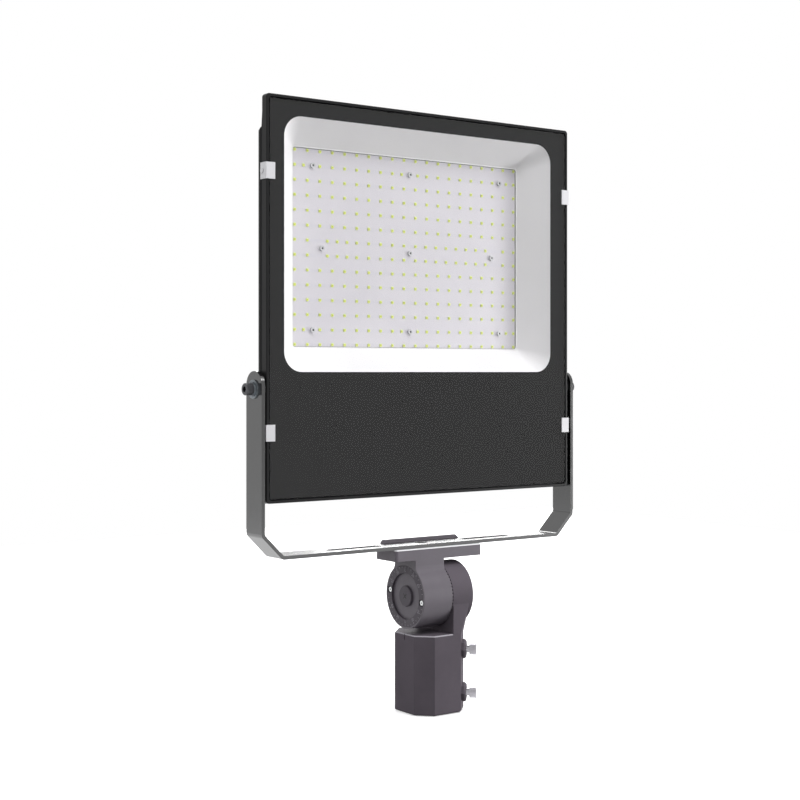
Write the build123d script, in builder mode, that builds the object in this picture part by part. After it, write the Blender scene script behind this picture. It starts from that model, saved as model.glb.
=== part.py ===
from build123d import *
import math
import os

# A stadium flood light: a square lamp head that tilts in a U-shaped yoke, on an adjustable
# slipfitter for the top of a pole. Millimetres. The origin is the centre of the pole socket's
# mouth, +Z is up, the light shines towards -Y, and the yoke and knuckle are centred on Y = 0.
# The yoke and the lamp head are drawn about X = 0, then set over the knuckle's neck, at yoke_x.

# Clearances
running_clearance = 0.08
thread_clearance = 0.05
face_clearance = 0.3

# Small edges
bolt_edge = 0.8
cast_edge = 0.8
glass_edge = 0.5

# Pole socket
pole_bore_radius = 31.0
socket_wall = 4.0
socket_flat = 37.0
socket_height = 89.0
socket_roof = 9.0
socket_edge = 1.2
notch_width = 1.4
notch_depth = 0.9
notch_height = 7.0

# Clamp bolts of the pole socket
clamp_bolt_radius = 4.0
clamp_head_radius = 6.5
clamp_head_length = 9.0
clamp_shank_shown = 4.0
clamp_heights = {"upper": 69.5, "lower": 20.5}
clamp_boss_radius = 10.2
clamp_boss_rise = 4.6
clamp_boss_edge = 1.4
clamp_tip_setback = 0.4
clamp_key_across = 6.0
clamp_key_depth = 4.0

# Knuckle
knuckle_radius = 36.5
socket_to_knuckle = 5.5
knuckle_left_inset = 1.0
knuckle_joint_x = 6.0
leg_top_corner = 2.0
leg_top_inset = 1.0
toothed_disc_rise = 1.5
serration_count = 60
serration_width = 1.3
serration_depth = 0.7
serration_inner_radius = 24.0
serration_overrun = 1.0

# Knuckle bolt
knuckle_bolt_radius = 6.0
knuckle_head_across = 18.0
knuckle_head_length = 7.5
knuckle_washer_radius = 10.9
knuckle_washer_thickness = 2.5
knuckle_nut_length = 10.0
knuckle_bolt_beyond_nut = 1.0
nut_pocket_clearance = 0.3
nut_pocket_depth = 17.5

# Angle scale, with its centre cap and its two screws
scale_rim = 2.2
scale_width = 8.3
scale_thickness = 2.5
scale_seat_clearance = 0.2
scale_screw_angle = 8.0
scale_screw_pocket_radius = 3.8
scale_screw_pocket_depth = 1.7
scale_screw_radius = 1.5
scale_screw_head_radius = 2.75
scale_screw_head = 0.9
scale_screw_length = 8.0
cap_overlap = 0.5
cap_rise = 2.8
cap_plug_length = 3.0
cap_mark_length = 8.0
cap_mark_width = 1.2
cap_mark_depth = 0.6
cap_mark_angle = 45.0

# Bracket plate and neck over the knuckle
plate_rise = 42.0
plate_length = 121.0
plate_width = 40.0
plate_thickness = 13.0
plate_corner = 3.0
plate_edge = 1.0
neck_width = 40.0
neck_fillet = 10.0
lip_thickness = 3.6
lip_height = 8.0
lip_end_length = 6.0
lip_end_height = 1.0

# Yoke
yoke_x = -12.0
yoke_thickness = 4.0
yoke_width = 32.0
yoke_side_gap = 3.0
yoke_leg = 25.5
yoke_bend_radius = 2.0
yoke_bend_angle = 45.0
yoke_tip_above_pivot = 19.0
yoke_tip_radius = 15.5
slot_length = 72.0
slot_width = 10.0
slot_offset = 91.0

# Screw that holds the yoke on the plate
yoke_screw_radius = 4.0
yoke_screw_head_radius = 7.5
yoke_screw_head_depth = 3.5
yoke_screw_head_taper = 45.0
yoke_screw_length = 20.0
yoke_screw_key_across = 5.0
yoke_screw_key_depth = 2.5

# Lamp head
head_clearance = 55.5
head_front = 14.0
head_corner = 4.0
head_side_depth = 15.5
head_front_edge = 1.0
rim_wall = 5.0
rim_front = 3.0
rim_band = 0.6
rim_band_width = 4.0
rim_top_depth = 9.0
rim_top_length = 18.0
rim_step_depth = 10.5
rim_step_length = 34.0
rim_full_length = 38.0
skin_thickness = 3.5

# Glass, its black print and its gasket
glass_thickness = 4.0
glass_gap = 1.2
glass_corner = 3.0
print_thickness = 0.3
gasket_thickness = 1.2
gasket_width = 8.0
gasket_inset = 0.5
window_width = 374.0
window_height = 272.0
window_corner = 22.0
window_side_margin = 24.0
window_top_margin = 20.0
window_bottom_margin = 138.0

# Reflector and board
board_depth = 35.5
reflector_side_slope = 29.0
reflector_end_slope = 27.5
board_corner = 3.0
board_thickness = 1.6
reflector_wall = 1.2
reflector_lip = 1.5
reflector_lip_thickness = 1.0
reflector_flange = 6.0
reflector_clearance = 0.8
insulator_thickness = 0.5
insulator_show = 0.4
board_clearance = 0.5

# LED packages
led_pitch = 16.3
led_size = 3.0
led_thickness = 0.7

# Board screws
board_screw_far_inset = 29.0
board_screw_near_inset = 41.0
board_screw_end_inset = 21.5
board_screw_radius = 1.5
board_screw_head_radius = 3.0
board_screw_head = 2.2
board_screw_grip = 4.0
screw_tip_gap = 0.4

# Deep section of the housing, and the heat sink screwed on its back
base_thickness = 4.9
deep_wall = 4.0
deep_back_wall = 7.0
sink_base = 3.0
sink_corner = 3.0
fin_height = 15.0
fin_thickness = 2.5
fin_pitch = 12.0
fin_slope = 16.0
sink_overhang = 2.5
sink_screw_near_pitches = 4.5
sink_screw_inset = 18.0
sink_screw_radius = 1.5
sink_screw_head_radius = 2.8
sink_screw_head = 2.0
sink_screw_grip = 4.0

# Driver bay in the lower part of the head
bay_side_margin = 61.0
bay_above_bottom = 34.5
bay_corner = 6.0
bay_wall = 3.5
bay_depth = 43.0
cover_gasket_thickness = 1.0
cover_thickness = 3.0
cover_fin_height = 4.0
cover_fin_inset = 16.75
cover_screw_inset = 9.0
cover_screw_inner_x = 47.0
cover_boss_radius = 6.5
cover_screw_radius = 2.0
cover_screw_head_radius = 4.0
cover_screw_head = 2.6
cover_screw_grip = 10.0

# Lead duct from the bay to the board
duct_over_board = 22.0
duct_bore_width = 12.0
duct_bore_depth = 7.0
duct_wall = 2.5
lead_radius = 1.15
lead_offset = 3.0
lead_bend = 6.0
lead_rise = 10.0

# Driver, terminal block and surge protector
driver_depth = 38.0
driver_end_gap = 1.5
driver_gap_below = 12.5
driver_gap_above = 14.0
driver_edge = 2.0
driver_pad = 2.0
driver_pad_radius = 5.0
driver_foot_length = 10.0
driver_foot_inset = 3.0
driver_foot_thickness = 2.0
driver_screw_inset = 8.0
driver_screw_radius = 2.0
driver_screw_head_radius = 3.6
driver_screw_head = 2.4
driver_screw_grip = 4.2
terminal_length = 30.0
terminal_height = 40.0
terminal_depth = 22.0
terminal_gap = 20.0
terminal_wall_gap = 21.5
terminal_poles = 3
terminal_pitch = 10.0
terminal_well_radius = 3.0
terminal_well_depth = 6.0
input_lead_depth = 8.0
surge_length = 38.0
surge_height = 20.0
surge_depth = 28.0
surge_gap = 4.0
surge_corner = 2.0

# Cable gland and breather under the bay
gland_inset = 38.0
gland_y = 22.0
gland_thread_radius = 10.0
gland_flange_across = 27.0
gland_flange = 5.0
gland_thread_length = 13.0
gland_dome_radius = 12.6
gland_dome_end_radius = 8.5
gland_dome_length = 20.0
gland_bore_radius = 7.0
gland_seal_radius = 4.5
gland_seal_length = 14.0
gland_thread_relief = 1.0
locknut_across = 24.0
locknut_length = 6.0
vent_to_gland = 42.0
vent_thread_radius = 6.0
vent_head_radius = 8.5
vent_head = 5.0
vent_head_edge = 1.0
vent_thread_length = 9.0

# Tilt pivots of the head
pivot_above_bottom = 120.0
pivot_bolt_radius = 4.0
pivot_head_radius = 6.5
pivot_head_length = 8.0
pivot_bolt_grip = 20.0
pivot_key_across = 6.0
pivot_key_depth = 4.0
pivot_washer_radius = 10.0
pivot_washer_thickness = 1.6
spring_washer_radius = 7.6
spring_washer_thickness = 2.0
spring_washer_split = 1.5
pivot_spacer_radius = 12.0
pivot_boss_half_height = 13.0
pivot_boss_back = 13.0
pivot_boss_length = 30.0
pivot_boss_corner = 5.0

# Glass clips
clip_height = 17.5
clip_front = 10.0
clip_side = 11.0
clip_thickness = 1.0
clip_from_top = 81.0
clip_from_bottom = 74.0
clip_screw_radius = 1.5
clip_screw_head_radius = 2.8
clip_screw_head = 0.9
clip_screw_length = 8.0

# Ribs behind the skin
rib_thickness = 3.0
rib_height = 4.0
rib_pitch = 50.0
rib_count = 7

# Worked-out widths and heights of the head
head_width = window_width + 2 * window_side_margin
head_height = window_height + window_top_margin + window_bottom_margin
board_view_width = window_width - 2 * reflector_side_slope
board_view_height = window_height - 2 * reflector_end_slope
board_margin = reflector_lip + reflector_wall + reflector_clearance - board_clearance
board_width = board_view_width + 2 * board_margin
board_height = board_view_height + 2 * board_margin
cavity_edge = reflector_wall + reflector_clearance

# Worked-out places, from the pole upwards
knuckle_z = socket_height + socket_to_knuckle + knuckle_radius
plate_bottom_z = knuckle_z + plate_rise
plate_top_z = plate_bottom_z + plate_thickness
strap_top_z = plate_top_z + yoke_thickness
head_bottom_z = strap_top_z + head_clearance
head_mid_z = head_bottom_z + head_height / 2
head_top_z = head_bottom_z + head_height
pivot_z = head_bottom_z + pivot_above_bottom
window_mid_z = head_top_z - window_top_margin - window_height / 2
bay_bottom_z = head_bottom_z + bay_above_bottom
bay_top_z = window_mid_z - window_height / 2 - cavity_edge - deep_wall
bay_height = bay_top_z - bay_bottom_z
bay_width = head_width - 2 * bay_side_margin
bay_mid_z = bay_bottom_z + bay_height / 2

# Worked-out depths, from the front of the head backwards
front_y = -head_front
glass_back_y = front_y + glass_thickness
print_back_y = glass_back_y + print_thickness
ledge_y = print_back_y + gasket_thickness
skin_back_y = ledge_y + skin_thickness
side_back_y = front_y + head_side_depth
board_y = front_y + board_depth
board_back_y = board_y + board_thickness
base_back_y = board_back_y + base_thickness
sink_back_y = base_back_y + sink_base
fin_back_y = sink_back_y + fin_height
bay_back_y = skin_back_y + bay_depth
cover_front_y = bay_back_y + cover_gasket_thickness
cover_back_y = cover_front_y + cover_thickness

# Worked-out sizes
glass_width = head_width - 2 * rim_front - 2 * glass_gap
glass_height = head_height - 2 * rim_front - 2 * glass_gap
head_side_x = head_width / 2
yoke_inner_x = head_side_x + yoke_side_gap
yoke_outer_x = yoke_inner_x + yoke_thickness
socket_half = pole_bore_radius + socket_wall
socket_across = 2 * socket_half
knuckle_left_x = knuckle_left_inset - socket_half
scale_outer_radius = knuckle_radius - scale_rim
scale_inner_radius = scale_outer_radius - scale_width
scale_screw_circle = scale_outer_radius - scale_width / 2
facet_distance = (socket_half + socket_flat / 2) / math.sqrt(2)
clamp_boss_face = facet_distance + clamp_boss_rise
clamp_head_face = clamp_boss_face + clamp_shank_shown
nut_pocket_radius = knuckle_washer_radius + nut_pocket_clearance
cap_radius = nut_pocket_radius + cap_overlap
scale_floor_x = knuckle_left_x + scale_thickness
nut_seat_x = scale_floor_x + nut_pocket_depth
cheek_face_x = knuckle_joint_x + face_clearance / 2
leg_face_x = cheek_face_x + toothed_disc_rise
barrel_face_x = knuckle_joint_x - face_clearance / 2
serration_length = knuckle_radius - serration_inner_radius + serration_overrun
fin_count = 2 * int(board_width / fin_pitch / 2) + 1
fin_foot_length = board_height + 2 * sink_overhang
fin_top_length = fin_foot_length - 2 * fin_slope
sink_screw_z = fin_foot_length / 2 - sink_screw_inset
cover_fin_count = 2 * int(bay_width / fin_pitch / 2) - 1
cover_fin_length = bay_height - 2 * cover_fin_inset
driver_height = bay_height - 2 * bay_wall - driver_gap_below - driver_gap_above
driver_left_x = bay_wall - bay_width / 2 + driver_end_gap + driver_foot_length
terminal_left_x = bay_width / 2 - bay_wall - terminal_wall_gap - terminal_length
driver_length = terminal_left_x - terminal_gap - driver_left_x
driver_centre_x = driver_left_x + driver_length / 2
gland_x = bay_width / 2 - gland_inset
vent_x = gland_x - vent_to_gland


def at_depth(y):
    """A plane that faces the front of the lamp, at depth y: local x is X and local y is Z."""
    return Plane.XZ.offset(-y)


def across(x):
    """A plane square to X, at x: local x is Y and local y is Z."""
    return Plane.YZ.offset(x)


def cylinder(plane, radius, length, mode=Mode.ADD):
    """A round bar or hole from a plane's origin along its normal."""
    with BuildSketch(plane) as profile:
        Circle(radius)
    extrude(profile.sketch, amount=length, mode=mode)


def hexagon(plane, size_across, length, mode=Mode.ADD):
    """A six-sided bar or socket from a plane's origin along its normal."""
    with BuildSketch(plane) as profile:
        RegularPolygon(size_across / 2, 6, major_radius=False)
    extrude(profile.sketch, amount=length, mode=mode)


def framed(plane, centre, width, height, corner, length, mode=Mode.ADD):
    """A slab with rounded corners, centred at a point of the plane."""
    with BuildSketch(plane) as profile:
        with Locations(centre):
            RectangleRounded(width, height, corner)
    extrude(profile.sketch, amount=length, mode=mode)


def tapered(front, back, mode=Mode.ADD):
    """A tapered slab between two rounded rectangles: (depth, width, height, corner) each."""
    ends = []
    for depth, width, height, corner in (front, back):
        with BuildSketch(at_depth(depth)) as end:
            with Locations((0, window_mid_z)):
                RectangleRounded(width, height, corner)
        ends.append(end.sketch.face())
    loft(ends, ruled=True, mode=mode)


# Pole socket, with the cheek that carries the knuckle
socket_half_flat = socket_flat / 2
socket_outline = [
    (socket_half, -socket_half_flat),
    (socket_half, socket_half_flat),
    (socket_half_flat, socket_half),
    (-socket_half_flat, socket_half),
    (-socket_half, socket_half_flat),
    (-socket_half, -socket_half_flat),
    (-socket_half_flat, -socket_half),
    (socket_half_flat, -socket_half),
]


def leg_corner(side):
    """The sloping face of the leg's +X corner on one side, wide at the foot and narrow at the top."""
    foot = Vector(socket_half, side * socket_half_flat, leg_foot_z)
    top = Vector(socket_half, side * (leg_top_half - leg_top_corner), knuckle_z)
    along = Vector(-1, side, 0)
    return Plane(origin=foot, x_dir=along, z_dir=along.cross(top - foot) * side)


def clamp_plane(height, distance):
    """A plane square to the clamp bolts, which point away from the pole between +X and -Y."""
    outward = Vector(1, -1, 0).normalized()
    return Plane(origin=outward * distance + Vector(0, 0, height), x_dir=(0, 0, 1), z_dir=outward)


def knuckle_plane(x):
    """A plane square to the knuckle bolt, facing +X."""
    return Plane(origin=(x, 0, knuckle_z), x_dir=(0, 1, 0), z_dir=(1, 0, 0))


leg_foot_z = socket_height - socket_edge
leg_top_half = knuckle_radius - leg_top_inset

with BuildPart() as cheek_leg:
    with BuildSketch(across(leg_face_x)):
        Polygon(
            (-socket_half, leg_foot_z),
            (socket_half, leg_foot_z),
            (leg_top_half, knuckle_z),
            (-leg_top_half, knuckle_z),
            align=None,
        )
    extrude(amount=socket_half - leg_face_x)
    for side in (-1, 1):
        with BuildSketch(leg_corner(side)):
            Rectangle(4 * socket_across, 4 * socket_across)
        extrude(amount=socket_across, mode=Mode.SUBTRACT)

with BuildPart() as pole_socket:
    with BuildSketch(Plane.XY):
        Polygon(*socket_outline, align=None)
    extrude(amount=socket_height)
    chamfer(pole_socket.faces().sort_by(Axis.Z)[-1].edges(), socket_edge)
    chamfer(pole_socket.faces().sort_by(Axis.Z)[0].edges(), socket_edge)
    for height in clamp_heights.values():
        with BuildSketch(clamp_plane(height, facet_distance - socket_edge)):
            RegularPolygon(clamp_boss_radius, 8, major_radius=False)
        extrude(amount=clamp_boss_rise + socket_edge)
    boss_faces = pole_socket.faces().group_by(Axis((0, 0, 0), (1, -1, 0)))[-1]
    chamfer(boss_faces.edges(), clamp_boss_edge)
    add(cheek_leg.part)
    cylinder(knuckle_plane(cheek_face_x), knuckle_radius, socket_half - cheek_face_x)
    cylinder(Plane.XY, pole_bore_radius, socket_height - socket_roof, Mode.SUBTRACT)
    cylinder(knuckle_plane(0), knuckle_bolt_radius + thread_clearance, socket_across, Mode.SUBTRACT)
    for height in clamp_heights.values():
        cylinder(
            clamp_plane(height, 0),
            clamp_bolt_radius + running_clearance,
            clamp_head_face,
            Mode.SUBTRACT,
        )
    with BuildSketch(across(-socket_half)):
        with Locations((0, socket_height)):
            Rectangle(notch_width, 2 * notch_height)
    extrude(amount=notch_depth, mode=Mode.SUBTRACT)
    with BuildSketch(across(cheek_face_x)):
        with Locations((0, knuckle_z)):
            with PolarLocations((serration_inner_radius + knuckle_radius) / 2, serration_count):
                Rectangle(serration_length, serration_width)
    extrude(amount=serration_depth, mode=Mode.SUBTRACT)


# Clamp bolts, backed out so that their tips stay out of the bore
def clamp_bolt(height):
    """One socket-head clamp bolt at a height above the mouth."""
    with BuildPart() as bolt:
        tip = pole_bore_radius + clamp_tip_setback
        cylinder(clamp_plane(height, tip), clamp_bolt_radius, clamp_head_face - tip)
        cylinder(clamp_plane(height, clamp_head_face), clamp_head_radius, clamp_head_length)
        head_end = clamp_plane(height, clamp_head_face + clamp_head_length)
        chamfer(bolt.edges().filter_by(GeomType.CIRCLE).sort_by(Axis((0, 0, 0), (1, -1, 0)))[-1], bolt_edge)
        hexagon(head_end, clamp_key_across, -clamp_key_depth, Mode.SUBTRACT)
    return bolt


clamp_bolt_upper = clamp_bolt(clamp_heights["upper"])
clamp_bolt_lower = clamp_bolt(clamp_heights["lower"])

# Bracket that the yoke stands on: plate, neck and knuckle barrel in one casting
with BuildPart() as knuckle_bracket:
    with BuildSketch(Plane.XY.offset(plate_bottom_z)):
        RectangleRounded(plate_length, plate_width, plate_corner)
    extrude(amount=plate_thickness)
    chamfer(knuckle_bracket.faces().sort_by(Axis.Z)[-1].edges(), plate_edge)
    with BuildSketch(Plane.XY.offset(plate_top_z - plate_edge)):
        with Locations((0, plate_width / 2 - lip_thickness / 2)):
            Rectangle(plate_length - 2 * plate_corner, lip_thickness)
    extrude(amount=lip_height + plate_edge)
    lip_ends = knuckle_bracket.edges().filter_by(Axis.Y).group_by(Axis.Z)[-1]
    chamfer(lip_ends, lip_height - lip_end_height, lip_end_length)
    with BuildSketch(Plane.XY.offset(knuckle_z)):
        with Locations(((knuckle_left_x + barrel_face_x) / 2, 0)):
            Rectangle(barrel_face_x - knuckle_left_x, neck_width)
    extrude(amount=plate_rise + plate_thickness / 2)
    cylinder(knuckle_plane(knuckle_left_x), knuckle_radius, barrel_face_x - knuckle_left_x)
    creases = knuckle_bracket.edges().filter_by(Axis.X).filter_by_position(
        Axis.Z, knuckle_z, plate_bottom_z, inclusive=(False, False)
    )
    fillet(creases, neck_fillet)
    knuckle_left = knuckle_plane(knuckle_left_x)
    knuckle_floor = knuckle_plane(scale_floor_x)
    cylinder(knuckle_left, scale_outer_radius + scale_seat_clearance, scale_thickness, Mode.SUBTRACT)
    cylinder(knuckle_floor, nut_pocket_radius, nut_pocket_depth, Mode.SUBTRACT)
    cylinder(knuckle_floor, knuckle_bolt_radius + running_clearance, socket_across, Mode.SUBTRACT)
    with BuildSketch(knuckle_floor):
        with PolarLocations(scale_screw_circle, 2, start_angle=scale_screw_angle):
            Circle(scale_screw_radius + thread_clearance)
    extrude(amount=scale_screw_length, mode=Mode.SUBTRACT)
    with BuildSketch(across(barrel_face_x)):
        with Locations((0, knuckle_z)):
            with PolarLocations((serration_inner_radius + knuckle_radius) / 2, serration_count):
                Rectangle(serration_length, serration_width)
    extrude(amount=-serration_depth, mode=Mode.SUBTRACT)
    cylinder(
        Plane(origin=(yoke_x, 0, strap_top_z), x_dir=(1, 0, 0), z_dir=(0, 0, -1)),
        yoke_screw_radius + thread_clearance,
        yoke_screw_length + screw_tip_gap,
        Mode.SUBTRACT,
    )

# Angle scale: a ring let into the left end of the knuckle
with BuildPart() as angle_scale:
    cylinder(knuckle_left, scale_outer_radius, scale_thickness)
    cylinder(knuckle_left, scale_inner_radius, scale_thickness, Mode.SUBTRACT)
    with BuildSketch(knuckle_left):
        with PolarLocations(scale_screw_circle, 2, start_angle=scale_screw_angle):
            Circle(scale_screw_radius + thread_clearance)
    extrude(amount=scale_thickness, mode=Mode.SUBTRACT)
    with BuildSketch(knuckle_left):
        with PolarLocations(scale_screw_circle, 2, start_angle=scale_screw_angle):
            Circle(scale_screw_pocket_radius)
    extrude(amount=scale_screw_pocket_depth, mode=Mode.SUBTRACT)

scale_screw_seat = knuckle_left.offset(scale_screw_pocket_depth)
scale_screw_reach = scale_thickness - scale_screw_pocket_depth + scale_screw_length

with BuildPart() as scale_screws:
    with BuildSketch(scale_screw_seat):
        with PolarLocations(scale_screw_circle, 2, start_angle=scale_screw_angle):
            Circle(scale_screw_head_radius)
    extrude(amount=-scale_screw_head)
    with BuildSketch(scale_screw_seat):
        with PolarLocations(scale_screw_circle, 2, start_angle=scale_screw_angle):
            Circle(scale_screw_radius)
    extrude(amount=scale_screw_reach - screw_tip_gap)

# Cap over the knuckle nut, with a small cross sunk in its face
with BuildPart() as bolt_cap:
    cylinder(knuckle_floor, cap_radius, -cap_rise)
    fillet(bolt_cap.edges().sort_by(Axis.X)[0], cast_edge)
    cylinder(knuckle_floor, nut_pocket_radius - thread_clearance, cap_plug_length)
    with BuildSketch(knuckle_floor.offset(-cap_rise)):
        Rectangle(cap_mark_length, cap_mark_width, rotation=cap_mark_angle)
        Rectangle(cap_mark_length, cap_mark_width, rotation=-cap_mark_angle)
    extrude(amount=cap_mark_depth, mode=Mode.SUBTRACT)

# Knuckle bolt from the cheek's outer face, its two washers and its nut
knuckle_washer_x = socket_half + knuckle_washer_thickness
knuckle_nut_x = nut_seat_x - knuckle_washer_thickness
knuckle_tip_x = knuckle_nut_x - knuckle_nut_length - knuckle_bolt_beyond_nut

with BuildPart() as knuckle_bolt:
    cylinder(knuckle_plane(knuckle_tip_x), knuckle_bolt_radius, knuckle_washer_x - knuckle_tip_x)
    chamfer(knuckle_bolt.edges().sort_by(Axis.X)[0], bolt_edge)
    hexagon(knuckle_plane(knuckle_washer_x), knuckle_head_across, knuckle_head_length)

with BuildPart() as knuckle_nut:
    hexagon(knuckle_plane(knuckle_nut_x), knuckle_head_across, -knuckle_nut_length)
    cylinder(
        knuckle_plane(knuckle_nut_x),
        knuckle_bolt_radius + thread_clearance,
        -knuckle_nut_length,
        Mode.SUBTRACT,
    )

with BuildPart() as knuckle_washers:
    for x in (knuckle_nut_x, socket_half):
        cylinder(knuckle_plane(x), knuckle_washer_radius, knuckle_washer_thickness)
        cylinder(
            knuckle_plane(x),
            knuckle_bolt_radius + thread_clearance,
            knuckle_washer_thickness,
            Mode.SUBTRACT,
        )

# Yoke: one flat bar bent into a U with sloping corners
yoke_miter = yoke_thickness * math.tan(math.radians(yoke_bend_angle / 2))
yoke_tip_z = pivot_z + yoke_tip_above_pivot
yoke_screw_top = Plane(origin=(0, 0, strap_top_z), x_dir=(1, 0, 0), z_dir=(0, 0, -1))
yoke_outline = [
    (yoke_outer_x, yoke_tip_z),
    (yoke_outer_x, plate_top_z + yoke_leg),
    (yoke_outer_x - yoke_leg, plate_top_z),
    (-yoke_outer_x + yoke_leg, plate_top_z),
    (-yoke_outer_x, plate_top_z + yoke_leg),
    (-yoke_outer_x, yoke_tip_z),
    (-yoke_inner_x, yoke_tip_z),
    (-yoke_inner_x, plate_top_z + yoke_leg + yoke_miter),
    (-yoke_outer_x + yoke_leg + yoke_miter, strap_top_z),
    (yoke_outer_x - yoke_leg - yoke_miter, strap_top_z),
    (yoke_inner_x, plate_top_z + yoke_leg + yoke_miter),
    (yoke_inner_x, yoke_tip_z),
]

with BuildPart() as yoke:
    with BuildSketch(Plane.XZ):
        Polygon(*yoke_outline, align=None)
    extrude(amount=yoke_width / 2, both=True)
    bends = yoke.edges().filter_by(Axis.Y).group_by(Axis.Z)[:-1]
    strap_outer, strap_inner, arm_outer, arm_inner = bends
    fillet(strap_outer + arm_outer, yoke_bend_radius + yoke_thickness)
    fillet(strap_inner + arm_inner, yoke_bend_radius)
    fillet(yoke.edges().filter_by(Axis.X).group_by(Axis.Z)[-1], yoke_tip_radius)
    with BuildSketch(across(-yoke_outer_x)):
        with Locations((0, pivot_z)):
            Circle(pivot_bolt_radius + running_clearance)
    extrude(amount=2 * yoke_outer_x, mode=Mode.SUBTRACT)
    with BuildSketch(Plane.XY.offset(plate_top_z)):
        with Locations((-slot_offset, 0), (slot_offset, 0)):
            SlotOverall(slot_length, slot_width)
    extrude(amount=yoke_thickness, mode=Mode.SUBTRACT)
    cylinder(yoke_screw_top, yoke_screw_radius + thread_clearance, yoke_thickness, Mode.SUBTRACT)
    with BuildSketch(yoke_screw_top) as countersink:
        Circle(yoke_screw_head_radius + thread_clearance)
    countersink_depth = yoke_screw_head_depth + thread_clearance
    extrude(countersink.sketch, amount=countersink_depth, taper=yoke_screw_head_taper, mode=Mode.SUBTRACT)

with BuildPart() as yoke_screw:
    cylinder(yoke_screw_top, yoke_screw_radius, yoke_screw_length)
    with BuildSketch(yoke_screw_top):
        Circle(yoke_screw_head_radius)
    extrude(amount=yoke_screw_head_depth, taper=yoke_screw_head_taper)
    hexagon(yoke_screw_top, yoke_screw_key_across, yoke_screw_key_depth, Mode.SUBTRACT)

# Rear housing: one casting with the rim, the skin, the deep section and the driver bay
board_screw_far_x = board_width / 2 - board_screw_far_inset
board_screw_near_x = board_width / 2 - board_screw_near_inset
board_screw_z = board_height / 2 - board_screw_end_inset
board_screw_places = [
    (column, row)
    for row in (-board_screw_z, board_screw_z)
    for column in (-board_screw_far_x, 0, board_screw_far_x)
] + [(column, 0) for column in (-board_screw_near_x, 0, board_screw_near_x)]
sink_screw_far_pitches = fin_count / 2 - 1
sink_screw_places = [
    (side * pitches * fin_pitch, row)
    for side in (-1, 1)
    for pitches, row in (
        (sink_screw_far_pitches, -sink_screw_z),
        (sink_screw_far_pitches, 0),
        (sink_screw_far_pitches, sink_screw_z),
        (sink_screw_near_pitches, -sink_screw_z),
        (sink_screw_near_pitches, sink_screw_z),
    )
]
cover_screw_x = bay_width / 2 - cover_screw_inset
cover_screw_rise = bay_height / 2 - cover_screw_inset
cover_screw_places = [
    (column, bay_mid_z + row)
    for row in (-cover_screw_rise, cover_screw_rise)
    for column in (-cover_screw_x, -cover_screw_inner_x, cover_screw_inner_x, cover_screw_x)
]
driver_mid_z = bay_bottom_z + bay_wall + driver_gap_below + driver_height / 2
driver_front_y = skin_back_y + driver_pad
driver_foot_x = driver_length / 2 + driver_foot_length / 2
driver_screw_rise = driver_height / 2 - driver_screw_inset
driver_screw_places = [
    (driver_centre_x + side * driver_foot_x, driver_mid_z + row * driver_screw_rise)
    for side in (-1, 1)
    for row in (-1, 1)
]
rim_profile = [
    (front_y + rim_top_depth, head_top_z + rim_wall),
    (front_y + rim_top_depth, head_top_z - rim_top_length),
    (front_y + rim_step_depth, head_top_z - rim_step_length),
    (side_back_y, head_top_z - rim_full_length),
    (side_back_y + rim_wall, head_top_z - rim_full_length),
    (side_back_y + rim_wall, head_top_z + rim_wall),
]
clip_centres = [
    (side, z)
    for side in (-1, 1)
    for z in (head_bottom_z + clip_from_bottom, head_top_z - clip_from_top)
]
clip_screw_y = ledge_y + skin_thickness / 2
duct_top_z = window_mid_z - board_height / 2 + duct_over_board
duct_width = duct_bore_width + 2 * duct_wall
lead_y = base_back_y + duct_bore_depth / 2
lead_top_z = duct_top_z - lead_rise


def side_plane(side, distance, y, z):
    """A plane square to X on the left (-1) or right (+1) of the head, facing outwards."""
    return Plane(origin=(side * distance, y, z), x_dir=(0, side, 0), z_dir=(side, 0, 0))


def below(x, y, z):
    """A plane at a point, facing down."""
    return Plane(origin=(x, y, z), x_dir=(1, 0, 0), z_dir=(0, 0, -1))


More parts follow.
